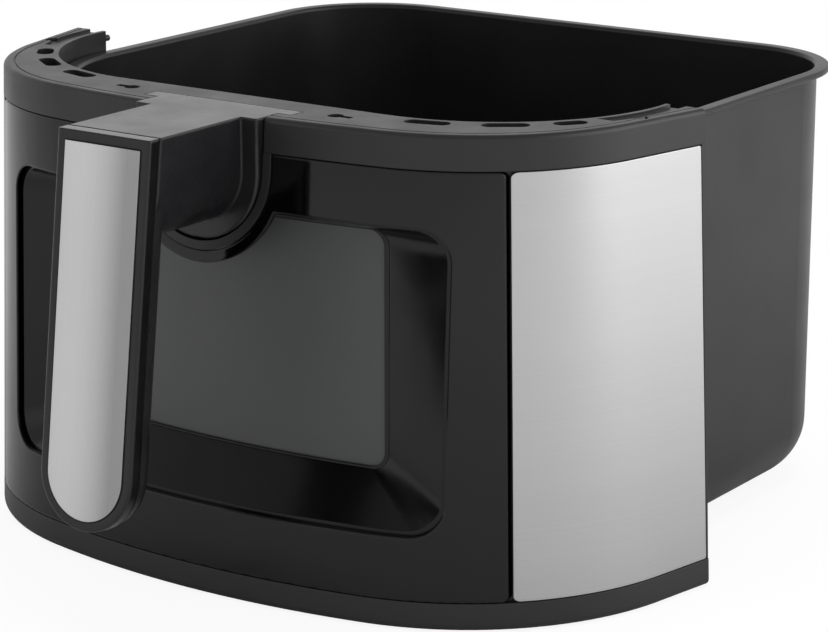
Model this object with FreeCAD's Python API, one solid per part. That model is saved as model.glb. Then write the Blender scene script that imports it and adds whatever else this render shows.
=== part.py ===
import FreeCAD, Part
import math
import os

# Pull-out basket drawer of an air fryer: a deep coated pan behind a bowed, flared front
# with a window, brushed cheeks and a paddle handle. All sizes are in millimetres.
# X runs across the drawer, -Y is the front that the user faces, +Z is up.
# The origin lies on the table, under the middle of the plane where the front meets the machine.

Vector = FreeCAD.Vector
UP = Vector(0, 0, 1)
BACK = Vector(0, 1, 0)
RIGHT = Vector(1, 0, 0)

# Drawer front: plan outline of its top edge
front_height = 176.4
top_half_width = 145.7
top_reach = 99.0
top_bow_radius = 545.0
top_corner_radius = 76.2
top_side_angle = 13.0

# Drawer front: plan outline of its foot
foot_half_width = 153.3
foot_reach = 111.5
foot_bow_radius = 336.0
foot_corner_radius = 99.4
foot_side_angle = 10.9

# Bands and skins of the drawer front
trim_height = 12.3
foot_band_height = 10.2
shadow_gap = 0.45
panel_top_half_width = 113.0
panel_foot_half_width = 118.2
cheek_gap = 1.5
panel_wall = 2.0
cheek_wall = 1.7
cheek_rear_margin = 0.3
skin_corner = 2.0
cheek_rear_corner = 0.8
skin_gap = 0.3
carrier_wall = 3.0
carrier_flange = 3.0
rear_foot = 1.0
rear_top = 2.4
rear_lip_inset = 0.25
rear_lip_gap = 0.7

# Top trim
trim_plate = 3.0
trim_skirt = 4.0
trim_edge_radius = 1.8
trim_end_wall = 2.5
mouth_half_width = 130.0
mouth_radius = 70.0
mouth_skirt = 2.5
ledge_wall = 1.3
groove_inset = 3.8
groove_width = 0.7
groove_depth = 0.5
vent_path_radius = 75.2
vent_width = 6.4
vent_angles = (14.5, 35.4, 52.8)
vent_lengths = (17.0, 17.0, 12.5)
channel_length = 34.0
channel_depth = 1.2
channel_lip = 1.8
channel_width = 6.4
peg_radius = 1.3
peg_reach = 2.6
peg_drop = 3.2

# Foot tray
tray_floor = 3.0
tray_skirt = 4.0
tray_edge_radius = 2.2
tray_pan_gap = 0.8

# Pan
pan_rear = 162.5
pan_wall = 1.2
pan_rear_corner = 43.0
pan_foot_radius = 24.0
rim_drop = 7.6
rim_gap = 0.7
rim_width = 5.0
rim_height = 2.5
rim_roll_radius = 1.1
rim_throat_radius = 1.6

# Window in the drawer front
window_half_width = 99.0
window_low = 33.5
window_drop = 32.9
window_corner = 12.0
funnel_lip = 0.8
funnel_wall = 2.0
funnel_flange = 5.0
funnel_overrun = 0.7
pane_half_width = 67.0
pane_low = 51.0
pane_head = 5.5
pane_corner = 6.0
pane_recess = 23.5
pane_bow_radius = 377.0
pane_lap = 3.5
glass_thickness = 3.0
seal_thickness = 1.2
retainer_wall = 2.0
retainer_margin = 3.0

# Window in the pan
sight_half_width = 46.0
sight_low = 60.0
sight_drop = 48.4
sight_corner = 8.0
sight_lap = 6.0
sight_frame_wall = 1.0
sight_frame_lap = 3.0

# Handle
tongue_half_width = 33.0
tongue_rear = 83.0
tongue_depth = 7.0
neck_half_width = 27.0
arm_radius = 20.2
arm_shoulder = 19.1
flange_radius = 27.2
flange_proud = 1.8
apron_gap = 0.5
apron_radius = 31.0
collar_radius = 35.6
apron_proud = 0.4
apron_wall = 2.0
apron_depth = 9.0
fit_gap = 0.3

# Grip
grip_reach = 151.6
grip_lean = 7.2
grip_length = 138.4
grip_radius = 20.3
grip_bezel_depth = 5.0
grip_back_depth = 7.5
grip_back_inset = 0.9
grip_back_round = 3.5
grip_edge_round = 0.8
grip_arm_gap = 0.8
insert_margin = 3.5
insert_thickness = 1.6
insert_proud = 0.3
insert_gap = 0.25
insert_floor = 1.0

# Steel stay, brackets and fasteners
stay_thickness = 3.0
stay_half_width = 12.0
stay_end_margin = 7.0
bracket_wall = 2.0
bracket_half_width = 52.0
bracket_drop = 17.0
tab_wall = 1.5
tab_flange = 12.0
tab_length = 6.0
tab_low = 60.0
tab_drop = 56.4
screw_radius = 1.5
screw_head_radius = 2.7
screw_head_height = 1.8
screw_gap = 0.2
boss_radius = 4.0
boss_height = 26.0
boss_overlap = 1.0
front_screw_x = 46.0
front_screw_reach = 81.5
front_screw_tail = 7.0
side_screw_y = -24.0
tray_screw_x = 70.0
tray_screw_y = -26.0
tongue_screw_x = 7.5
grip_screw_drops = (42.0, 106.0)

# Crisper plate
plate_gap = 3.0
plate_thickness = 1.2
plate_level = 21.0
plate_skirt = 7.0
slot_length = 24.0
slot_width = 5.0
slot_pitch_x = 34.0
slot_pitch_y = 21.0
slot_columns = 6
slot_rows = 9
finger_hole_radius = 13.0
foot_inset = 42.0
foot_radius = 6.0
foot_taper = 1.0
foot_stem_radius = 3.0
foot_seat_gap = 0.3

# Levels and places that follow from the sizes above
band_low = foot_band_height
band_high = front_height - trim_height
rim_top = front_height - rim_drop
rim_under = rim_top - rim_height
arm_axis = front_height - arm_shoulder
stay_low = rim_under - ledge_wall
stay_top = stay_low + stay_thickness
tongue_height = front_height - stay_top
pan_half_width = mouth_half_width - rim_gap - rim_width
pan_front = mouth_radius - rim_gap - rim_width
pan_front_corner = pan_front
plate_middle = (pan_rear - pan_front) / 2
window_high = front_height - window_drop
pane_high = window_high - pane_head
pane_reach = foot_reach - pane_recess
sight_high = front_height - sight_drop
tab_high = front_height - tab_drop
carrier_inset = panel_wall + skin_gap
carrier_inner = carrier_inset + carrier_wall
glass_reach = pane_reach - seal_thickness
glass_half_width = pane_half_width + pane_lap
glass_low = pane_low - pane_lap
glass_high = pane_high + pane_lap
far = 4 * front_height
cut_over = 1.0
tolerance = 0.01


def blend(foot, top, share):
    return foot + (top - foot) * share


def front_plan(share, inset):
    """Plan outline at a share of the height, as its angle, half width, centres and radii.

    A wide bow across the front runs into a tighter corner arc, which runs into a straight side.
    """
    angle = math.radians(blend(foot_side_angle, top_side_angle, share))
    half = blend(foot_half_width, top_half_width, share) - inset / math.cos(angle)
    bow = blend(foot_bow_radius, top_bow_radius, share) - inset
    corner = blend(foot_corner_radius, top_corner_radius, share) - inset
    bow_centre = bow + inset - blend(foot_reach, top_reach, share)
    start_x = half - corner * math.cos(angle)
    start_y = corner * math.sin(angle) - bow_centre
    run_x = -math.sin(angle)
    run_y = -math.cos(angle)
    slope = start_x * run_x + start_y * run_y
    room = start_x ** 2 + start_y ** 2 - (bow - corner) ** 2
    run = -slope + math.sqrt(slope ** 2 - room)
    corner_x = start_x + run * run_x
    corner_y = start_y + run * run_y + bow_centre
    return angle, half, bow, bow_centre, corner, corner_x, corner_y


def front_outline(height, inset, tail):
    """Closed plan wire of the front at a height, its sides running back as far as tail."""
    share = height / front_height
    angle, half, bow, bow_centre, corner, corner_x, corner_y = front_plan(share, inset)
    lean = math.atan2(corner_x, bow_centre - corner_y)
    middle = (lean + math.pi / 2 - angle) / 2

    def on_corner(turn, side):
        across = corner_x + corner * math.sin(turn)
        return Vector(side * across, corner_y - corner * math.cos(turn), height)

    side_turn = math.pi / 2 - angle
    end_right = Vector(half + tail * math.tan(angle), tail, height)
    end_left = Vector(-end_right.x, tail, height)
    nose = Vector(0, bow_centre - bow, height)
    left = [on_corner(turn, -1) for turn in (side_turn, middle, lean)]
    right = [on_corner(turn, 1) for turn in (lean, middle, side_turn)]
    edges = [
        Part.LineSegment(end_left, left[0]).toShape(),
        Part.Arc(*left).toShape(),
        Part.Arc(left[2], nose, right[0]).toShape(),
        Part.Arc(*right).toShape(),
        Part.LineSegment(right[2], end_right).toShape(),
        Part.LineSegment(end_right, end_left).toShape(),
    ]
    return Part.Wire(edges)


def front_face_y(x, height, inset=0.0):
    """Depth of the front's outer face at a place across it, inset inwards."""
    bow, bow_centre, corner, corner_x, corner_y = front_plan(height / front_height, inset)[2:]
    across = abs(x)
    if across <= bow * corner_x / math.hypot(corner_x, bow_centre - corner_y):
        return bow_centre - math.sqrt(bow ** 2 - across ** 2)
    return corner_y - math.sqrt(corner ** 2 - (across - corner_x) ** 2)


def front_side_x(y, height, inset=0.0):
    """Half width of the front beside its straight sides."""
    angle, half = front_plan(height / front_height, inset)[:2]
    return half + y * math.tan(angle)


def machine_side():
    """The space behind the leaning plane in which the front ends and on which it closes."""
    slope = (rear_top - rear_foot) / front_height
    low = Vector(-far, rear_foot - slope * cut_over, -cut_over)
    high = Vector(-far, rear_top + slope * cut_over, front_height + cut_over)
    points = [low, high, Vector(-far, far, high.z), Vector(-far, far, low.z), low]
    return Part.Face(Part.makePolygon(points)).extrude(RIGHT * (2 * far))


def front_solid(inset, tail=None):
    """The front's whole flared volume, inset evenly in plan, ending at its leaning rear plane or at tail."""
    end = rear_top + cut_over if tail is None else tail
    body = Part.makeLoft([front_outline(level, inset, end) for level in (0.0, front_height)], True, True)
    return body.cut(machine_side()) if tail is None else body


def slab(low, high):
    return Part.makeBox(2 * far, 2 * far, high - low, Vector(-far, -far, low))


def box(x0, x1, y0, y1, z0, z1):
    return Part.makeBox(x1 - x0, y1 - y0, z1 - z0, Vector(x0, y0, z0))


def skin(outer, inner, low, high):
    """A wall that follows the front between two insets and two heights, open behind."""
    return front_solid(outer).cut(front_solid(inner, far)).common(slab(low, high))


def mirrored(shape):
    return shape.mirror(Vector(0, 0, 0), RIGHT)


def both_sides(shape):
    return [shape, mirrored(shape)]


def pin(x, y, low, high, radius):
    return Part.makeCylinder(radius, high - low, Vector(x, y, low), UP)


def rounded_prism(half, low, high, radius, front, back):
    """A prism along Y with a round-cornered outline across the front."""
    block = box(-half, half, front, back, low, high)
    along = [edge for edge in block.Edges if abs(edge.tangentAt(0).y) > 0.5]
    return block.makeFillet(radius, along)


def arch_prism(radius, front, back, top=front_height):
    """A U outline, round below and straight above the arm's axis, carried along Y."""
    low = Vector(0, front, arm_axis - radius)
    ends = [Vector(side * radius, front, arm_axis) for side in (-1, 1)]
    tops = [Vector(side * radius, front, top) for side in (-1, 1)]
    edges = [
        Part.Arc(ends[0], low, ends[1]).toShape(),
        Part.LineSegment(ends[1], tops[1]).toShape(),
        Part.LineSegment(tops[1], tops[0]).toShape(),
        Part.LineSegment(tops[0], ends[0]).toShape(),
    ]
    return Part.Face(Part.Wire(edges)).extrude(Vector(0, back - front, 0))


def pan_outline(grow, low, high):
    """The pan's plan outline, grown evenly outwards, raised from one level to another."""
    half = pan_half_width + grow
    front_corner = pan_front_corner + grow
    rear_corner = pan_rear_corner + grow
    front_y = front_corner - pan_front - grow
    rear_y = pan_rear + grow - rear_corner
    corners = [
        (half - front_corner, front_y, front_corner, -90),
        (half - rear_corner, rear_y, rear_corner, 0),
        (rear_corner - half, rear_y, rear_corner, 90),
        (front_corner - half, front_y, front_corner, 180),
    ]
    arcs = []
    for x, y, radius, start in corners:
        turns = [math.radians(start + step) for step in (0, 45, 90)]
        spots = [Vector(x + radius * math.cos(turn), y + radius * math.sin(turn), low) for turn in turns]
        arcs.append(Part.Arc(*spots).toShape())
    edges = []
    for arc, following in zip(arcs, arcs[1:] + arcs[:1]):
        edges.append(arc)
        edges.append(Part.LineSegment(arc.Vertexes[-1].Point, following.Vertexes[0].Point).toShape())
    return Part.Face(Part.Wire(edges)).extrude(Vector(0, 0, high - low))


def dish(grow, floor, top, foot_radius):
    """The pan's outline as a solid with its foot rounded."""
    body = pan_outline(grow, floor, top)
    foot = [edge for edge in body.Edges if edge.BoundBox.ZMax < floor + tolerance]
    return body.makeFillet(foot_radius, foot)


def mouth_prism(grow, low, high):
    """The opening of the top trim: straight across the front, with a round corner to each side."""
    radius = mouth_radius + grow
    half = mouth_half_width + grow
    centre = half - radius
    bend = radius * math.sqrt(0.5)
    right = [Vector(centre, -radius, low), Vector(centre + bend, -bend, low), Vector(half, 0, low)]
    left = [Vector(-spot.x, spot.y, low) for spot in reversed(right)]
    rear_right = Vector(half, far, low)
    rear_left = Vector(-half, far, low)
    edges = [
        Part.Arc(*left).toShape(),
        Part.LineSegment(left[2], right[0]).toShape(),
        Part.Arc(*right).toShape(),
        Part.LineSegment(right[2], rear_right).toShape(),
        Part.LineSegment(rear_right, rear_left).toShape(),
        Part.LineSegment(rear_left, left[0]).toShape(),
    ]
    return Part.Face(Part.Wire(edges)).extrude(Vector(0, 0, high - low))


def pane_y(x, reach):
    return pane_bow_radius - reach - math.sqrt(pane_bow_radius ** 2 - x ** 2)


def pane_shell(front_reach, back_reach):
    """A bowed sheet between two depths, coaxial with the window pane."""
    axis = Vector(0, pane_bow_radius - pane_reach, 0)
    outer = Part.makeCylinder(pane_bow_radius + front_reach - pane_reach, front_height, axis, UP)
    inner = Part.makeCylinder(pane_bow_radius + back_reach - pane_reach, front_height, axis, UP)
    return outer.cut(inner)


def pane_plate(half, low, high, corner, front_reach, back_reach):
    """A bowed plate with round corners."""
    outline = rounded_prism(half, low, high, corner, -foot_reach, 0)
    return pane_shell(front_reach, back_reach).common(outline)


def ring_wire(half, low, high, radius, depth):
    """A round-cornered outline whose every point lies at the depth that its place asks for."""
    def curve(spots):
        points = [Vector(x, depth(x, z), z) for x, z in spots]
        line = Part.BSplineCurve()
        line.interpolate(points)
        return line.toShape()

    def corner(centre_x, centre_z, start):
        turns = [math.radians(start + 30 * step) for step in range(4)]
        return [(centre_x + radius * math.cos(turn), centre_z + radius * math.sin(turn)) for turn in turns]

    inner = half - radius
    shares = [step / 4 - 1 for step in range(9)]
    heights = (low + radius, (low + high) / 2, high - radius)
    edges = [
        curve([(inner * share, low) for share in shares]),
        curve(corner(inner, low + radius, -90)),
        curve([(half, height) for height in heights]),
        curve(corner(inner, high - radius, 0)),
        curve([(-inner * share, high) for share in shares]),
        curve(corner(-inner, high - radius, 90)),
        curve([(-half, height) for height in reversed(heights)]),
        curve(corner(-inner, low + radius, 180)),
    ]
    return Part.Wire(edges)


def funnel_volume(grow):
    """The space that narrows from the window's edge to the pane, grown sideways and backwards."""
    outer = (window_half_width - funnel_lip + grow, window_low + funnel_lip - grow,
             window_high - funnel_lip + grow, window_corner + grow)
    inner = (pane_half_width + grow, pane_low - grow, pane_high + grow, pane_corner + grow)
    wires = [
        ring_wire(*outer, lambda x, z: grow - foot_reach - window_corner),
        ring_wire(*outer, lambda x, z: front_face_y(x, z, carrier_inset + grow - funnel_overrun)),
        ring_wire(*inner, lambda x, z: pane_y(x, pane_reach - grow - funnel_overrun)),
        ring_wire(*inner, lambda x, z: -grow - pan_front),
    ]
    return Part.makeLoft(wires, True, True)


def screw(x, y, seat, direction, length):
    """A pan-head screw whose head sits on the seat level and whose shank runs into the boss."""
    head = Part.makeCylinder(screw_head_radius, screw_head_height, Vector(x, y, seat), UP * -direction)
    shank = Part.makeCylinder(screw_radius, length, Vector(x, y, seat), UP * direction)
    return head.fuse(shank).removeSplitter()


def in_grip(shape):
    """Places a shape drawn upright at the grip's top, leaning forward down its length."""
    turned = shape.copy()
    lean = FreeCAD.Rotation(RIGHT, -grip_lean)
    turned.Placement = FreeCAD.Placement(Vector(0, -grip_reach, front_height), lean)
    return turned


def paddle(inset, front, back, rise=0.0):
    """The grip's outline, square above and round below, between two depths behind its face."""
    radius = grip_radius - inset
    turn_z = grip_radius - grip_length
    top = rise - inset
    ends = [Vector(side * radius, front, turn_z) for side in (-1, 1)]
    tops = [Vector(side * radius, front, top) for side in (-1, 1)]
    edges = [
        Part.Arc(ends[0], Vector(0, front, turn_z - radius), ends[1]).toShape(),
        Part.LineSegment(ends[1], tops[1]).toShape(),
        Part.LineSegment(tops[1], tops[0]).toShape(),
        Part.LineSegment(tops[0], ends[0]).toShape(),
    ]
    return Part.Face(Part.Wire(edges)).extrude(Vector(0, back - front, 0))


def edges_at_depth(shape, depth):
    return [edge for edge in shape.Edges
            if abs(edge.BoundBox.YMin - depth) < tolerance and abs(edge.BoundBox.YMax - depth) < tolerance]


def pan():
    """Deep-drawn pan: rounded foot, upright walls, rolled rim and a sight opening in front."""
    shell = dish(0, 0, rim_top, pan_foot_radius)
    rim = pan_outline(rim_width, rim_under, rim_top)
    roll = [edge for edge in rim.Edges if edge.BoundBox.ZLength < tolerance]
    body = shell.fuse(rim.makeFillet(rim_roll_radius, roll))
    body = body.cut(dish(-pan_wall, pan_wall, rim_top + cut_over, pan_foot_radius - pan_wall))
    body = body.cut(sight_plate(0, cut_over, -pan_wall - cut_over)).removeSplitter()
    inside = pan_half_width - pan_wall + tolerance
    throat = [edge for edge in body.Edges
              if edge.BoundBox.ZMin > rim_top - tolerance and edge.BoundBox.XMax < inside
              and edge.BoundBox.XMin > -inside and edge.BoundBox.YMax < pan_rear - pan_wall + tolerance
              and edge.BoundBox.YMin > -pan_front + pan_wall - tolerance]
    return body.makeFillet(rim_throat_radius, throat)


def sight_plate(grow, front, back):
    return rounded_prism(sight_half_width + grow, sight_low - grow, sight_high + grow, sight_corner + grow,
                         -pan_front - front, -pan_front - back)


def pan_glass_seal():
    return sight_plate(sight_lap, seal_thickness, 0).cut(sight_plate(0, seal_thickness, 0))


def pan_glass():
    return sight_plate(sight_lap, seal_thickness + glass_thickness, seal_thickness)


def pan_glass_frame():
    """Folded steel frame that holds the sight glass and its seal to the pan."""
    depth = seal_thickness + glass_thickness
    outside = sight_plate(sight_lap + fit_gap + sight_frame_wall, depth + sight_frame_wall, 0)
    bed = sight_plate(sight_lap + fit_gap, depth, 0)
    opening = sight_plate(sight_lap - sight_frame_lap, depth + sight_frame_wall, 0)
    return outside.cut(bed).cut(opening)


def pan_bracket():
    """Folded steel angle on the pan's front wall, under the rim, that carries trim and handle."""
    plate_front = -pan_front - bracket_wall
    half = bracket_half_width
    plate = box(-half, half, plate_front, -pan_front, stay_low - bracket_drop, stay_low)
    shelf_front = front_face_y(apron_radius, band_high, apron_depth) + fit_gap
    shelf = box(-half, half, shelf_front, plate_front, stay_low - bracket_wall, stay_low)
    body = plate.fuse(shelf).removeSplitter()
    for x, y in bracket_screws():
        body = body.cut(pin(x, y, stay_low - bracket_drop, stay_low, screw_radius + screw_gap))
    return body


def bracket_screws():
    places = [(side * front_screw_x, -front_screw_reach) for side in (-1, 1)]
    return places + tongue_screws()


def tongue_screws():
    return [(side * tongue_screw_x, -tongue_rear - tongue_depth / 2) for side in (-1, 1)]


def side_tabs():
    """Steel angles on the pan's sides that bear on the carrier's rear flange."""
    wall = pan_half_width
    leg = box(wall, wall + tab_wall, -carrier_flange - tab_length, -carrier_flange, tab_low, tab_high)
    foot = box(wall, wall + tab_flange, -carrier_flange - tab_wall, -carrier_flange, tab_low, tab_high)
    return Part.makeCompound(both_sides(leg.fuse(foot).removeSplitter()))


def tray_screws():
    inset = carrier_inner + boss_radius - boss_overlap
    front = [(side * tray_screw_x, front_face_y(tray_screw_x, 0, inset)) for side in (-1, 1)]
    side_x = front_side_x(tray_screw_y, 0, inset)
    return front + [(side * side_x, tray_screw_y) for side in (-1, 1)]


def side_screws():
    """Places of the screws through the trim's arms, midway across each arm."""
    middle = (mouth_half_width + front_side_x(side_screw_y, front_height)) / 2
    return [(side * middle, side_screw_y) for side in (-1, 1)]


def window_prism(grow):
    """The window's outline in the panel, grown evenly, carried along Y as far as the pan."""
    return rounded_prism(window_half_width + grow, window_low - grow, window_high + grow,
                         window_corner + grow, -foot_reach - cut_over, -pan_front)


def apron_notch(radius, back):
    """The handle's U outline as a cutter from in front of the drawer back to a depth."""
    return arch_prism(radius, -foot_reach - cut_over, back)


def front_carrier():
    """Moulded carrier behind the skins: flanges that close on the pan's sides, a lip and screw bosses."""
    walls = skin(carrier_inset, carrier_inner, band_low, band_high)
    hollow = front_solid(carrier_inset).common(slab(tray_floor, band_high))
    flange = hollow.common(box(-far, far, -carrier_flange, far, band_low, band_high))
    lip = front_solid(rear_lip_inset).common(slab(band_low, band_high))
    lip = lip.common(box(-far, far, rear_lip_gap - cheek_rear_margin, far, band_low, band_high))
    body = walls.fuse([flange, lip])
    for x, y in tray_screws():
        boss = pin(x, y, tray_floor, tray_floor + boss_height, boss_radius)
        body = body.fuse(boss.common(front_solid(tray_skirt + fit_gap)))
    for x, y in side_screws():
        body = body.fuse(pin(x, y, band_high - boss_height, band_high, boss_radius).common(hollow))
    body = body.cut(pan_outline(fit_gap, 0, front_height))
    body = body.cut(window_prism(funnel_flange + fit_gap))
    body = body.cut(apron_notch(apron_radius + fit_gap, -pan_front))
    for x, y in tray_screws():
        body = body.cut(pin(x, y, 0, tray_floor + boss_height / 2, screw_radius + screw_gap))
    for x, y in side_screws():
        body = body.cut(pin(x, y, band_high - boss_height / 2, front_height, screw_radius + screw_gap))
    return body.removeSplitter()


def seam_half(height, gap):
    """Half width of the gloss panel at a height, past its edge by a gap."""
    return gap + blend(panel_foot_half_width, panel_top_half_width, height / front_height)


def panel_prism():
    """The gloss panel's outline across the front, wider at its foot, carried along Y."""
    low = band_low + shadow_gap
    high = band_high - shadow_gap
    half_low = seam_half(low, 0)
    half_high = seam_half(high, 0)
    spots = [(-half_low, low), (half_low, low), (half_high, high), (-half_high, high)]
    points = [Vector(x, -foot_reach - cut_over, z) for x, z in spots]
    block = Part.Face(Part.makePolygon(points + points[:1])).extrude(BACK * (foot_reach + cut_over))
    along = [edge for edge in block.Edges if abs(edge.tangentAt(0).y) > 0.5]
    return block.makeFillet(skin_corner, along)


def front_panel():
    """Gloss panel with the window opening, a notch for the handle's apron and a collar round it."""
    sheet = skin(0, panel_wall, band_low, band_high).common(panel_prism())
    window = window_prism(0).cut(apron_notch(collar_radius, -pan_front))
    return sheet.cut(window).cut(apron_notch(apron_radius + fit_gap, -pan_front))


def steel_cheek():
    """Brushed cheek that wraps from the panel round the corner to the front's rear edge."""
    sheet = skin(0, cheek_wall, band_low, band_high)
    low = band_low + shadow_gap
    high = band_high - shadow_gap
    spots = [(seam_half(low, cheek_gap), low), (far, low), (far, high), (seam_half(high, cheek_gap), high)]
    points = [Vector(x, -far, z) for x, z in spots]
    block = Part.Face(Part.makePolygon(points + points[:1])).extrude(BACK * (far - cheek_rear_margin))
    seam = [edge for edge in block.Edges
            if abs(edge.tangentAt(0).y) > 0.9 and edge.CenterOfMass.x < far / 2]
    block = block.makeFillet(skin_corner, seam)
    rear = [edge for edge in block.Edges
            if abs(edge.tangentAt(0).x) > 0.9 and edge.CenterOfMass.y > -far / 2]
    return sheet.common(block.makeFillet(cheek_rear_corner, rear))


def window_bezel():
    """Moulded funnel between the window's edge and the pane, with a flange behind the panel."""
    flange = window_prism(funnel_flange).cut(front_solid(carrier_inset + funnel_wall))
    land = pane_plate(glass_half_width, glass_low, glass_high, pane_corner + pane_lap,
                      pane_reach + funnel_wall, pane_reach - funnel_overrun / 2)
    body = funnel_volume(funnel_wall).fuse([flange, land]).cut(funnel_volume(0))
    body = body.common(front_solid(carrier_inset))
    body = body.cut(pane_shell(pane_reach, pan_front - carrier_flange))
    apron_back = front_face_y(0, arm_axis, apron_depth)
    return body.cut(apron_notch(apron_radius + fit_gap, apron_back + fit_gap)).removeSplitter()


def bore_back():
    """Depth of the bottom of the apron's bore, in which the handle's flange sits."""
    return front_face_y(0, arm_axis, apron_depth - apron_wall)


def flange_front():
    """Depth of the front of the handle's flange, proud of the drawer's face."""
    return front_face_y(0, arm_axis, -flange_proud)


def window_glass_seal():
    outside = pane_plate(glass_half_width, glass_low, glass_high, pane_corner + pane_lap,
                         pane_reach, glass_reach)
    opening = rounded_prism(pane_half_width, pane_low, pane_high, pane_corner, -foot_reach, 0)
    return outside.cut(opening)


def window_glass():
    return pane_plate(glass_half_width, glass_low, glass_high, pane_corner + pane_lap,
                      glass_reach, glass_reach - glass_thickness)


def window_retainer():
    """Tray-like frame that holds the pane and its seal against the bezel from behind."""
    corner = pane_corner + pane_lap
    back = glass_reach - glass_thickness

    def plate(grow, back_reach):
        return pane_plate(glass_half_width + grow, glass_low - grow, glass_high + grow, corner + grow,
                          pane_reach, back_reach)

    outside = plate(retainer_margin, back - retainer_wall)
    bed = plate(fit_gap, back)
    opening = rounded_prism(pane_half_width, pane_low, pane_high, pane_corner, -foot_reach, 0)
    return outside.cut(bed).cut(opening)


def vent(side, angle, length):
    """A round-ended slot through the trim, along the arc beside its mouth."""
    centre_x = mouth_half_width - mouth_radius
    half = length / 2 - vent_width / 2
    high = front_height + cut_over
    middle = box(-half, half, -vent_width / 2, vent_width / 2, band_high, high)
    ends = [pin(end, 0, band_high, high, vent_width / 2) for end in (-half, half)]
    slot = middle.fuse(ends)
    slot.translate(Vector(0, -vent_path_radius, 0))
    slot.rotate(Vector(0, 0, 0), UP, angle)
    slot.translate(Vector(centre_x, 0, 0))
    return slot if side > 0 else mirrored(slot)


def tongue_plan(grow, low, high):
    """The handle's flush T: a bar across the trim and a neck that runs forward to the flange."""
    bar = box(-tongue_half_width - grow, tongue_half_width + grow,
              -tongue_rear - tongue_depth - grow, -tongue_rear + grow, low, high)
    neck = box(-neck_half_width - grow, neck_half_width + grow, flange_front(), -tongue_rear, low, high)
    return bar.fuse(neck)


def arm_channel():
    """Shallow channel in the end of the trim's right arm, open behind, where its screw sits."""
    low = front_height - channel_depth
    high = front_height + cut_over
    path = mouth_prism(channel_lip + channel_width, low, high).cut(mouth_prism(channel_lip, low, high))
    return path.common(box(0, far, -channel_length, far, low, high))


def arm_peg():
    """Locating peg behind the trim's right arm."""
    start = Vector(mouth_half_width + peg_radius, -peg_reach, front_height - peg_drop)
    return Part.makeCylinder(peg_radius, 2 * peg_reach + rear_top, start, BACK)


def teardrop(x, y):
    """Shallow tail beside a front screw's head, running outwards."""
    ends = sorted((x, x + math.copysign(front_screw_tail, x)))
    half = screw_head_radius / 2
    return box(*ends, y - half, y + half, front_height - 2 * groove_depth, front_height)


def top_trim():
    """Moulded cap of the front: vented plate, skirts, ledge under the rim and the handle's apron."""
    top = front_height
    body = front_solid(0).common(slab(band_high, top))
    edge = [line for line in body.Edges
            if line.BoundBox.ZMin > top - tolerance and line.BoundBox.YMin < -tolerance]
    body = body.makeFillet(trim_edge_radius, edge)
    mouth = mouth_prism(0, 0, top + cut_over)
    body = body.cut(mouth)
    hollow = front_solid(trim_skirt).common(box(-far, far, -far, -trim_end_wall, 0, top - trim_plate))
    body = body.cut(hollow.cut(mouth_prism(mouth_skirt, stay_low, top)))
    ledge = mouth_prism(mouth_skirt, stay_low, rim_under).common(front_solid(trim_skirt))
    body = body.fuse(ledge.cut(pan_outline(fit_gap, 0, top)))
    for shape in both_sides(arm_channel()):
        body = body.cut(shape)
    groove = skin(groove_inset, groove_inset + groove_width, top - groove_depth, top)
    body = body.cut(groove)
    for side in (-1, 1):
        for angle, length in zip(vent_angles, vent_lengths):
            body = body.cut(vent(side, angle, length))
    for x, y in bracket_screws()[:2]:
        body = body.fuse(pin(x, y, stay_low, top - trim_plate, boss_radius)).cut(teardrop(x, y))
    for x, y in side_screws():
        boss = pin(x, y, band_high, top - trim_plate, boss_radius)
        body = body.fuse(boss.common(front_solid(trim_edge_radius)).cut(mouth))
    for x, y in bracket_screws()[:2] + side_screws():
        body = body.cut(pin(x, y, top - trim_plate, top, screw_head_radius + screw_gap))
        body = body.cut(pin(x, y, band_high, top, screw_radius + screw_gap))
    ring = skin(-apron_proud, apron_depth, 0, top)
    body = body.fuse(ring.common(arch_prism(apron_radius, -foot_reach, 0, band_high)))
    bore = arch_prism(flange_radius + apron_gap, -foot_reach - cut_over, bore_back(), top + cut_over)
    body = body.cut(bore).cut(tongue_plan(fit_gap, stay_top, top + cut_over))
    stay_slot = box(-stay_half_width - fit_gap, stay_half_width + fit_gap, flange_front(),
                    -pan_front - bracket_wall, stay_low - bracket_wall - fit_gap, stay_top + fit_gap)
    return body.cut(stay_slot).fuse(both_sides(arm_peg())).removeSplitter()


def foot_tray():
    """Foot of the front: a low band round a floor that fills the space up to the pan."""
    body = front_solid(0).common(slab(0, band_low))
    lower = [line for line in body.Edges
             if line.BoundBox.ZMax < tolerance and line.BoundBox.YMin < -tolerance]
    body = body.makeFillet(tray_edge_radius, lower)
    high = band_low + cut_over
    body = body.cut(front_solid(tray_skirt).common(box(-far, far, -far, -carrier_flange, tray_floor, high)))
    body = body.cut(pan_outline(tray_pan_gap, -cut_over, high))
    for x, y in tray_screws():
        body = body.cut(pin(x, y, -cut_over, screw_head_height + screw_gap, screw_head_radius + screw_gap))
        body = body.cut(pin(x, y, -cut_over, tray_floor, screw_radius + screw_gap))
    return body


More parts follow.
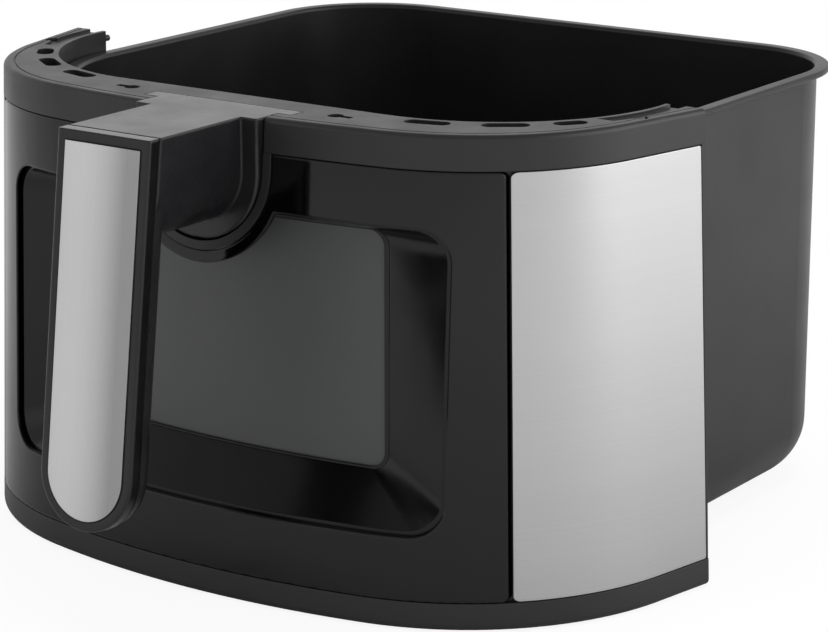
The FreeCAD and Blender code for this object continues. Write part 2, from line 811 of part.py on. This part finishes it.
def handle_body():
    """One moulding: flush tongue, flange, U-section arm and the back of the grip."""
    top = front_height
    arm_front = -grip_reach - grip_length * math.sin(math.radians(grip_lean))
    arm = arch_prism(arm_radius, arm_front, flange_front())
    flange = arch_prism(flange_radius, flange_front(), bore_back() - fit_gap)
    outer = [edge for edge in edges_at_depth(flange, flange_front()) if edge.BoundBox.ZMin < top - tolerance]
    flange = flange.makeFillet(grip_edge_round, outer)
    space = in_grip(box(-far, far, -far, grip_bezel_depth + grip_arm_gap, -far, far))
    body = arm.cut(space).fuse(flange).fuse(tongue_plan(0, stay_top, top))
    back = paddle(grip_back_inset, grip_bezel_depth, grip_bezel_depth + grip_back_depth)
    back = back.makeFillet(grip_back_round, edges_at_depth(back, grip_bezel_depth + grip_back_depth)[:2])
    body = body.fuse(in_grip(back).common(slab(0, top)))
    bar = box(-stay_half_width - screw_gap, stay_half_width + screw_gap, stay_front() - screw_gap,
              -pan_front, stay_low - screw_gap, stay_top)
    body = body.cut(bar)
    for x, y in tongue_screws():
        body = body.cut(pin(x, y, stay_low, top - tongue_height / 3, screw_radius + screw_gap))
    for drop in grip_screw_drops:
        body = body.cut(grip_pin(drop, 0, far, screw_radius + screw_gap))
        body = body.cut(grip_pin(drop, grip_screw_seat(), far, screw_head_radius + screw_gap))
    return body.removeSplitter()


def stay_front():
    """Depth of the stay's front end, short of the grip's bezel."""
    return -grip_reach + stay_end_margin


def grip_screw_seat():
    return grip_bezel_depth + grip_back_depth / 2


def grip_pin(drop, front, back, radius):
    """A round pin across the grip at a distance down from its top."""
    return in_grip(Part.makeCylinder(radius, back - front, Vector(0, front, -drop), BACK))


def grip_bezel():
    """Front shell of the grip, with a bed for the steel insert."""
    body = paddle(0, 0, grip_bezel_depth, grip_radius)
    body = body.makeFillet(grip_edge_round, edges_at_depth(body, 0))
    body = in_grip(body).common(slab(0, front_height))
    body = body.cut(in_grip(paddle(insert_margin, 0, insert_thickness)))
    for drop in grip_screw_drops:
        body = body.cut(grip_pin(drop, insert_thickness + insert_floor, far, screw_radius + screw_gap))
    return body


def grip_insert():
    """Brushed steel strip let into the grip's face."""
    return in_grip(paddle(insert_margin + insert_gap, -insert_proud, insert_thickness))


def handle_stay():
    """Steel bar that runs from the pan's bracket through the arm to the grip."""
    rear = -pan_front - rim_width - fit_gap
    bar = box(-stay_half_width, stay_half_width, stay_front(), rear, stay_low, stay_top)
    for x, y in tongue_screws():
        bar = bar.cut(pin(x, y, stay_low, stay_top, screw_radius + screw_gap))
    return bar


def handle_screws():
    """Two screws up through bracket and stay into the tongue, two from behind into the grip's bezel."""
    reach = stay_thickness + bracket_wall + tongue_height / 3
    upright = [screw(x, y, stay_low - bracket_wall, 1, reach) for x, y in tongue_screws()]
    across = []
    for drop in grip_screw_drops:
        shank = grip_pin(drop, insert_thickness + insert_floor + screw_gap, grip_screw_seat(), screw_radius)
        head = grip_pin(drop, grip_screw_seat(), grip_screw_seat() + screw_head_height, screw_head_radius)
        across.append(shank.fuse(head).removeSplitter())
    return Part.makeCompound(upright + across)


def trim_screws():
    seat = front_height - trim_plate
    front = [screw(x, y, seat, -1, trim_plate + tongue_height) for x, y in bracket_screws()[:2]]
    side = [screw(x, y, seat, -1, trim_height) for x, y in side_screws()]
    return Part.makeCompound(front + side)


def foot_screws():
    seat = screw_head_height + screw_gap
    return Part.makeCompound([screw(x, y, seat, 1, tray_floor + boss_height / 3) for x, y in tray_screws()])


def plate_outline(inset, low, high):
    return pan_outline(-pan_wall - plate_gap - inset, low, high)


def foot_places():
    """Places of the crisper's feet, one in from each corner of the pan."""
    x = pan_half_width - foot_inset
    return [(side * x, y) for side in (-1, 1) for y in (foot_inset - pan_front, pan_rear - foot_inset)]


def crisper_slot(x, y):
    half = slot_length / 2 - slot_width / 2
    low = plate_level - cut_over
    high = plate_level + plate_thickness + cut_over
    middle = box(x - half, x + half, y - slot_width / 2, y + slot_width / 2, low, high)
    return middle.fuse([pin(x + end, y, low, high, slot_width / 2) for end in (-half, half)])


def slot_places():
    """Grid of slot centres over the plate, clear of its edge, its feet and its finger hole."""
    room = plate_outline(slot_length / 2, -cut_over, cut_over)
    stays = foot_places() + [(0, plate_middle)]
    places = []
    for column in range(slot_columns):
        for row in range(slot_rows):
            x = (column - (slot_columns - 1) / 2) * slot_pitch_x
            y = plate_middle + (row - (slot_rows - 1) / 2) * slot_pitch_y
            near = min(math.hypot(x - other[0], y - other[1]) for other in stays)
            if near > slot_length and room.isInside(Vector(x, y, 0), tolerance, False):
                places.append((x, y))
    return places


def crisper_plate():
    """Perforated tray plate with a turned-down edge and a finger hole."""
    top = plate_level + plate_thickness
    body = plate_outline(0, top - plate_skirt, top)
    low = plate_level - cut_over
    high = top + cut_over
    body = body.cut(plate_outline(plate_thickness, top - plate_skirt - cut_over, plate_level))
    body = body.cut(pin(0, plate_middle, low, high, finger_hole_radius))
    body = body.cut([crisper_slot(x, y) for x, y in slot_places()])
    return body.cut([pin(x, y, low, high, foot_stem_radius + screw_gap) for x, y in foot_places()])


def crisper_foot(x, y):
    """Silicone foot: a tapered post under the plate and a button above it, joined by a stem."""
    floor = pan_wall + foot_seat_gap
    top = plate_level + plate_thickness
    post = Part.makeCone(foot_radius - foot_taper, foot_radius, plate_level - floor, Vector(x, y, floor), UP)
    stem = pin(x, y, plate_level, top, foot_stem_radius)
    button = Part.makeCone(foot_radius - foot_taper, foot_stem_radius, plate_thickness, Vector(x, y, top), UP)
    return post.fuse([stem, button]).removeSplitter()


def crisper_feet():
    return Part.makeCompound([crisper_foot(x, y) for x, y in foot_places()])


pieces = {
    "pan": pan,
    "pan_glass": pan_glass,
    "pan_glass_seal": pan_glass_seal,
    "pan_glass_frame": pan_glass_frame,
    "pan_bracket": pan_bracket,
    "side_tabs": side_tabs,
    "front_carrier": front_carrier,
    "front_panel": front_panel,
    "steel_cheek_right": steel_cheek,
    "steel_cheek_left": lambda: mirrored(steel_cheek()),
    "window_bezel": window_bezel,
    "window_glass": window_glass,
    "window_glass_seal": window_glass_seal,
    "window_retainer": window_retainer,
    "top_trim": top_trim,
    "foot_tray": foot_tray,
    "handle_body": handle_body,
    "grip_bezel": grip_bezel,
    "grip_insert": grip_insert,
    "handle_stay": handle_stay,
    "handle_screws": handle_screws,
    "trim_screws": trim_screws,
    "foot_screws": foot_screws,
    "crisper_plate": crisper_plate,
    "crisper_feet": crisper_feet,
}

os.makedirs("parts", exist_ok=True)
for node, make in pieces.items():
    make().exportStep(f"parts/{node}.step")
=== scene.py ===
import bpy
import numpy as np
from mathutils import Matrix

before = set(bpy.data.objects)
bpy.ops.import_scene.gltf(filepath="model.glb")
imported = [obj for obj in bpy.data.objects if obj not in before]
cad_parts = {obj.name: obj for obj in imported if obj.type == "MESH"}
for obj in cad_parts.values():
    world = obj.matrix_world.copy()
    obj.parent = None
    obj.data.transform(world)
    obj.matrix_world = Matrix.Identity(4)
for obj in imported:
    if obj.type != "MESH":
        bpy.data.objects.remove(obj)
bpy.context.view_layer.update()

scene = bpy.context.scene
scene.view_settings.view_transform = "Standard"

PER_METRE = 1000.0
UP = (0.0, 0.0, 1.0)

# Photograph's width in pixels and the camera that was fitted to it, in metres.
PHOTO_WIDTH = 828
FOCAL_PIXELS = 3005.0
SENSOR_WIDTH_MM = 36.0
CAMERA_PLACE = (0.6546, -0.9108, 0.3872)
CAMERA_AZIMUTH = np.radians(34.75)
CAMERA_ELEVATION = np.radians(15.40)

# Half width of the floor, and how far it lies under the object, in metres.
FLOOR_HALF = 4.0
FLOOR_DROP = 0.0005
# Paper of the floor, and its tone as gloss mirrors it close to the object, which shades it.
PAPER = "#fbfbfb"
PAPER_SHADED = "#d6d6d6"
WHITE = "#ffffff"
# Distances between which that shade fades out, and the share of plain white that the camera sees at the object.
SHADE_NEAR = 0.25
SHADE_FAR = 0.75
SHADE_WHITE = 0.9
# Strength of the surround where it lights matt surfaces.
MATT_LIGHT = 0.6
# Rise of a mirrored direction at which the surround starts to dim and has dimmed, and its strength from there on.
MIRROR_LOW = 0.35
MIRROR_HIGH = 0.75
MIRROR_DIM = 0.38

# Radii to which mould and press round edges that are drawn sharp, in metres: crisp, and softer on handle and panel.
EDGE_ROUND = 0.0004
SOFT_ROUND = 0.0014
EDGE_SAMPLES = 6
# Lean of the grip from upright, forward down its length.
GRIP_LEAN = np.radians(7.2)
# Range that a noise texture fills, apart from rare peaks.
NOISE_LOW = 0.3
NOISE_HIGH = 0.7


def linear(code):
    """An sRGB hex colour as linear red, green, blue and an alpha of one."""
    share = np.array([int(code[start:start + 2], 16) for start in (1, 3, 5)]) / 255.0
    value = np.where(share <= 0.04045, share / 12.92, ((share + 0.055) / 1.055) ** 2.4)
    return (*value.tolist(), 1.0)


def scaled(code, share):
    """An sRGB hex colour as linear values, its light scaled by a share."""
    red, green, blue, alpha = linear(code)
    return (red * share, green * share, blue * share, alpha)


def pattern(size_mm):
    """Texture scale at which one cell of a pattern measures the size given in millimetres."""
    return PER_METRE / size_mm


def add(tree, kind, inputs=None, **settings):
    """Adds a node: settings are its properties, inputs its sockets, each a value or another node's output."""
    node = tree.nodes.new("ShaderNode" + kind)
    for name, value in settings.items():
        setattr(node, name, value)
    for name, value in (inputs or {}).items():
        if isinstance(value, bpy.types.NodeSocket):
            tree.links.new(value, node.inputs[name])
        else:
            node.inputs[name].default_value = value
    return node


def noise(tree, place, size_mm, detail):
    """Noise with cells of a size in millimetres."""
    return add(tree, "TexNoise", {"Vector": place, "Scale": pattern(size_mm), "Detail": detail}).outputs["Fac"]


def ramp(tree, value, low, high, start, end):
    """Carries a value from the range low to high over to start to end, and holds it there."""
    inputs = {"Value": value, "From Min": low, "From Max": high, "To Min": start, "To Max": end}
    return add(tree, "MapRange", inputs).outputs["Result"]


def drift(tree, field, middle, half):
    """A noise field carried over to a middle value, give or take a half range."""
    return ramp(tree, field, NOISE_LOW, NOISE_HIGH, middle - half, middle + half)


def blend(tree, factor, first, second, **settings):
    """Mixes two colours by a factor."""
    inputs = {"Factor": factor, "A": first, "B": second}
    return add(tree, "Mix", inputs, data_type="RGBA", **settings).outputs["Result"]


def combine(tree, first, second, operation):
    """Joins two numbers by an operation."""
    return add(tree, "Math", {0: first, 1: second}, operation=operation).outputs["Value"]


def rounded(tree, radius):
    """Normal of a surface whose sharp edges are rounded to a radius."""
    return add(tree, "Bevel", {"Radius": radius}, samples=EDGE_SAMPLES).outputs["Normal"]


def relief(tree, height, depth_mm, strength, **inputs):
    """Normal of a surface with a height field of a depth in millimetres as bump."""
    inputs = {"Height": height, "Strength": strength, "Distance": depth_mm / PER_METRE, **inputs}
    return add(tree, "Bump", inputs).outputs["Normal"]


def blank(name):
    """A material with an empty node tree, and its Object coordinates."""
    material = bpy.data.materials.new(name)
    material.use_nodes = True
    material.node_tree.nodes.clear()
    place = add(material.node_tree, "TexCoord").outputs["Object"]
    return material, material.node_tree, place


def close(tree, inputs):
    """Ends a material in a Principled surface with these inputs."""
    surface = add(tree, "BsdfPrincipled", inputs)
    add(tree, "OutputMaterial", {"Surface": surface.outputs["BSDF"]})


def moulded_plastic(name, colour, roughness, spread, grain_mm, depth_mm, specular, edge_round=EDGE_ROUND):
    """Injection-moulded ABS in one colour, its grain and gloss set by how the mould was finished.

    The fine noise is the mould's texture as bump; a slow noise of 18 mm lets the gloss drift by the spread,
    as the flow of the plastic and a little handling do; the colour drifts by a tenth with it.
    """
    material, tree, place = blank(name)
    slow = noise(tree, place, 18.0, 3.0)
    fine = noise(tree, place, grain_mm, 2.0)
    close(tree, {"Base Color": blend(tree, slow, scaled(colour, 0.9), scaled(colour, 1.1)),
                 "Roughness": drift(tree, slow, roughness, spread),
                 "Normal": relief(tree, fine, depth_mm, 1.0, Normal=rounded(tree, edge_round)),
                 "IOR": 1.53, "Specular IOR Level": specular})
    return material


def brushed_steel(name, colour, cell_mm, lean, contrast, band_mm, pressure_and_painted_shade, roughness):
    """Stainless sheet brushed on a belt: fine lines, long one way and narrow the other.

    Noise stretched to the cell's size across, through and up the sheet, turned by its lean, gives the lines; they
    part the gloss, change the colour by the contrast and stand as bump. The same noise with its narrow side at the
    band's size dims the colour by up to the band's share: a small share is the uneven pressure of the belt, a large
    one is painted shade, the sheet darkened towards one side across its width in place of a darker reflection. Real
    lines are about 0.05 mm; these are drawn as coarse as it takes to show.
    """
    material, tree, place = blank(name)
    cell = tuple(size / PER_METRE for size in cell_mm)
    laid = add(tree, "Mapping", {"Vector": place, "Rotation": (-lean, 0.0, 0.0), "Scale": cell},
               vector_type="TEXTURE").outputs["Vector"]
    lines = add(tree, "TexNoise", {"Vector": laid, "Scale": 1.0, "Detail": 4.0, "Roughness": 0.65}).outputs["Fac"]
    cloud = add(tree, "TexNoise", {"Vector": laid, "Scale": min(cell_mm) / band_mm, "Detail": 1.0}).outputs["Fac"]
    tint = blend(tree, lines, scaled(colour, 1.0 - contrast), scaled(colour, 1.0 + contrast))
    shade = ramp(tree, cloud, 0.35, 0.65, 1.0 - pressure_and_painted_shade, 1.0)
    close(tree, {"Base Color": blend(tree, 1.0, tint, shade, blend_type="MULTIPLY"), "Metallic": 1.0,
                 "Roughness": drift(tree, lines, roughness, 0.04),
                 "Normal": relief(tree, lines, 0.02, 0.2, Normal=rounded(tree, EDGE_ROUND))})
    return material


def baked_coating(name, colour, fleck_colour, roughness):
    """Sprayed and baked non-stick coating on steel: an even skin with fine mica flecks.

    Round cells of 0.9 mm hold one fleck each in their middle, drawn coarser than real ones so that they show; a
    noise of 0.5 mm is the orange peel of the spray, and a slow noise of 30 mm its uneven gloss.
    """
    material, tree, place = blank(name)
    cells = add(tree, "TexVoronoi", {"Vector": place, "Scale": pattern(0.9)}).outputs["Distance"]
    fleck = ramp(tree, cells, 0.1, 0.22, 0.35, 0.0)
    close(tree, {"Base Color": blend(tree, fleck, linear(colour), linear(fleck_colour)),
                 "Roughness": drift(tree, noise(tree, place, 30.0, 3.0), roughness, 0.04),
                 "Normal": relief(tree, noise(tree, place, 0.5, 2.0), 0.02, 0.6),
                 "IOR": 1.4, "Specular IOR Level": 0.42})
    return material


def treated_steel(name, dark, light, metallic, roughness):
    """Pressed or headed steel with a thin treatment: the spangle of the bath and soft drawing marks.

    Cells of 2.5 mm carry the colour from dark to light; a noise of 1.2 mm spreads the gloss.
    """
    material, tree, place = blank(name)
    spangle = add(tree, "TexVoronoi", {"Vector": place, "Scale": pattern(2.5)}).outputs["Distance"]
    close(tree, {"Base Color": blend(tree, spangle, linear(dark), linear(light)), "Metallic": metallic,
                 "Roughness": drift(tree, noise(tree, place, 1.2, 4.0), roughness, 0.07)})
    return material


def smoked_glass(name, colour, clearness, roughness):
    """Tempered float glass with a smoke tint and the faintest roller wave of 60 mm.

    The clearness is the share of light that passes; an etched face has a higher roughness and mirrors nothing.
    """
    material, tree, place = blank(name)
    close(tree, {"Base Color": linear(colour), "Transmission Weight": clearness, "Roughness": roughness, "IOR": 1.5,
                 "Normal": relief(tree, noise(tree, place, 60.0, 1.0), 0.2, 0.2)})
    return material


def moulded_silicone(name, dark, light, roughness):
    """Silicone rubber as it leaves the mould: dull, with a bloom that varies over 4 mm."""
    material, tree, place = blank(name)
    bloom = noise(tree, place, 4.0, 4.0)
    close(tree, {"Base Color": blend(tree, bloom, linear(dark), linear(light)),
                 "Roughness": drift(tree, bloom, roughness, 0.09), "IOR": 1.41})
    return material


# Trim, foot, carrier and retainer: ABS from a spark-eroded mould, which leaves a fine even satin grain.
grained_abs = moulded_plastic("spark_grained_abs", "#1b1b1c", roughness=0.42, spread=0.05,
                              grain_mm=0.5, depth_mm=0.015, specular=0.38)
# Handle: ABS from a stoned mould, smoother, so it shines where light grazes it.
handle_abs = moulded_plastic("stoned_satin_abs", "#18181a", roughness=0.28, spread=0.04,
                             grain_mm=0.7, depth_mm=0.006, specular=0.4, edge_round=SOFT_ROUND)
# Grip shell: the same, stoned finer, so it is darker and glossier than the arm beside it.
bezel_abs = moulded_plastic("fine_stoned_abs", "#0c0c0d", roughness=0.2, spread=0.03,
                            grain_mm=0.7, depth_mm=0.004, specular=0.36, edge_round=SOFT_ROUND)
# Front panel: ABS from a polished mould, a black mirror with hardly any grain.
gloss_abs = moulded_plastic("polished_gloss_abs", "#040404", roughness=0.06, spread=0.02,
                            grain_mm=6.0, depth_mm=0.002, specular=0.33, edge_round=SOFT_ROUND)
# Window funnel: the same plastic from a mould polished less finely, so what it mirrors is blurred.
funnel_abs = moulded_plastic("half_gloss_abs", "#080809", roughness=0.2, spread=0.04,
                             grain_mm=1.5, depth_mm=0.003, specular=0.28)
# Cheeks: belt-brushed from side to side, so the lines run level round the corner.
cheek_steel = brushed_steel("level_brushed_stainless", "#b8b8b8", cell_mm=(2000.0, 2000.0, 0.45), lean=0.0,
                            contrast=0.14, band_mm=30.0, pressure_and_painted_shade=0.02, roughness=0.35)
# Grip strip: brushed along its length. Its band is painted shade: the strip is darkened towards one side across
# # its width, in place of a darker reflection on that side.
strip_steel = brushed_steel("lengthwise_brushed_stainless", "#e2e2e2", cell_mm=(0.4, 0.4, 900.0), lean=GRIP_LEAN,
                            contrast=0.06, band_mm=36.0, pressure_and_painted_shade=0.6, roughness=0.3)
# Pan: satin black non-stick coating. Crisper plate: the same kind of coating, a little duller and paler.
pan_coating = baked_coating("satin_nonstick_coating", "#151515", "#4a4a4c", roughness=0.38)
crisper_coating = baked_coating("matt_nonstick_coating", "#1d1d1e", "#505052", roughness=0.42)
# Brackets and stay: zinc-plated, pale and bright. Screws: black phosphate, which leaves steel dark and dull.
zinc_steel = treated_steel("zinc_plated_steel", "#a9abad", "#c3c5c7", metallic=1.0, roughness=0.35)
phosphate_steel = treated_steel("black_phosphate_steel", "#2a2a2b", "#3c3c3e", metallic=0.6, roughness=0.48)
# Window pane: smoke tint with an etched face, which keeps it an even grey. Sight glass: paler, clear.
pane_glass = smoked_glass("etched_smoked_glass", "#515253", clearness=0.2, roughness=0.5)
sight_glass = smoked_glass("clear_smoked_glass", "#8a8c8e", clearness=1.0, roughness=0.02)
# Seals and feet: black silicone.
silicone = moulded_silicone("moulded_silicone", "#131313", "#262627", roughness=0.59)

finishes = (
    (pan_coating, ("pan",)),
    (crisper_coating, ("crisper_plate",)),
    (grained_abs, ("top_trim", "foot_tray", "front_carrier", "window_retainer")),
    (handle_abs, ("handle_body",)),
    (bezel_abs, ("grip_bezel",)),
    (gloss_abs, ("front_panel",)),
    (funnel_abs, ("window_bezel",)),
    (cheek_steel, ("steel_cheek_right", "steel_cheek_left")),
    (strip_steel, ("grip_insert",)),
    (pane_glass, ("window_glass",)),
    (sight_glass, ("pan_glass",)),
    (silicone, ("crisper_feet", "window_glass_seal", "pan_glass_seal")),
    (zinc_steel, ("pan_glass_frame", "pan_bracket", "side_tabs", "handle_stay")),
    (phosphate_steel, ("handle_screws", "trim_screws", "foot_screws")),
)

for finish, nodes in finishes:
    for node in nodes:
        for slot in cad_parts[node].material_slots:
            slot.material = finish


def floor():
    """A level square of the floor's half width, just under the object, that turns to plain white away from it."""
    signs = np.array([(-1, -1), (1, -1), (1, 1), (-1, 1)], dtype=float)
    corners = np.column_stack([signs * FLOOR_HALF, np.full(4, -FLOOR_DROP)])
    mesh = bpy.data.meshes.new("studio_floor")
    mesh.from_pydata(corners.tolist(), [], [(0, 1, 2, 3)])
    surface = bpy.data.objects.new("studio_floor", mesh)
    scene.collection.objects.link(surface)
    material, tree, place = blank("white_paper")
    path = add(tree, "LightPath").outputs
    away = add(tree, "VectorMath", {0: place}, operation="LENGTH").outputs["Value"]
    near = ramp(tree, away, SHADE_NEAR, SHADE_FAR, 1.0, 0.0)
    dim = combine(tree, near, path["Is Glossy Ray"], "MULTIPLY")
    sheet = add(tree, "BsdfDiffuse", {"Color": blend(tree, dim, linear(PAPER), linear(PAPER_SHADED))})
    white = add(tree, "Emission", {"Color": linear(WHITE), "Strength": 1.0})
    share = combine(tree, path["Is Camera Ray"], ramp(tree, near, 0.0, 1.0, 1.0, SHADE_WHITE), "MULTIPLY")
    mix = add(tree, "MixShader", {0: share, 1: sheet.outputs["BSDF"], 2: white.outputs["Emission"]})
    add(tree, "OutputMaterial", {"Surface": mix.outputs["Shader"]})
    mesh.materials.append(material)


def studio_world():
    """A white surround: full white where it is seen, softer where it lights matt surfaces.

    What is mirrored is white up to MIRROR_LOW of the direction's rise and dims to MIRROR_DIM at MIRROR_HIGH, as
    under a studio's dark ceiling.
    """
    world = bpy.data.worlds.new("white_studio")
    world.use_nodes = True
    tree = world.node_tree
    tree.nodes.clear()
    path = add(tree, "LightPath").outputs
    rise = add(tree, "SeparateXYZ", {"Vector": add(tree, "TexCoord").outputs["Generated"]}).outputs["Z"]
    ceiling = ramp(tree, rise, MIRROR_LOW, MIRROR_HIGH, 1.0, MIRROR_DIM)
    soft, mirrored, white = (add(tree, "Background", {"Color": linear(WHITE), "Strength": strength})
                             .outputs["Background"] for strength in (MATT_LIGHT, ceiling, 1.0))
    lit = add(tree, "MixShader", {0: path["Is Glossy Ray"], 1: soft, 2: mirrored}).outputs["Shader"]
    seen = combine(tree, path["Is Camera Ray"], path["Is Transmission Ray"], "MAXIMUM")
    mix = add(tree, "MixShader", {0: seen, 1: lit, 2: white})
    add(tree, "OutputWorld", {"Surface": mix.outputs["Shader"]})
    scene.world = world


def aimed(name, data, place, ahead):
    """Sets up a lamp or camera at a place, level, looking ahead."""
    ahead = np.array(ahead) / np.linalg.norm(ahead)
    side = np.cross(ahead, UP)
    side /= np.linalg.norm(side)
    turned = np.eye(4)
    turned[:3, :4] = np.column_stack([side, np.cross(side, ahead), -ahead, place])
    holder = bpy.data.objects.new(name, data)
    holder.matrix_world = Matrix(turned.tolist())
    scene.collection.objects.link(holder)
    return holder


def lamp(name, place, target, size, power, mirrored):
    """A square soft light at a place, turned to a target, and whether gloss mirrors it."""
    light = bpy.data.lights.new(name, "AREA")
    light.size = size
    light.energy = power
    aimed(name, light, place, np.subtract(target, place)).visible_glossy = mirrored


def photo_camera():
    """The camera that was fitted to the photograph: level, from the front right and above."""
    ahead = (-np.sin(CAMERA_AZIMUTH) * np.cos(CAMERA_ELEVATION),
             np.cos(CAMERA_AZIMUTH) * np.cos(CAMERA_ELEVATION), -np.sin(CAMERA_ELEVATION))
    data = bpy.data.cameras.new("photo_camera")
    data.sensor_fit = "HORIZONTAL"
    data.sensor_width = SENSOR_WIDTH_MM
    data.lens = FOCAL_PIXELS * SENSOR_WIDTH_MM / PHOTO_WIDTH
    scene.camera = aimed("photo_camera", data, CAMERA_PLACE, ahead)


floor()
studio_world()
lamp("right_softbox", place=(1.6, 0.7, 0.85), target=(0.1, 0.0, 0.1), size=1.7, power=20.0, mirrored=True)
lamp("overhead_softbox", place=(0.0, 0.2, 2.2), target=(0.0, 0.0, 0.1), size=1.6, power=21.0, mirrored=False)
photo_camera()
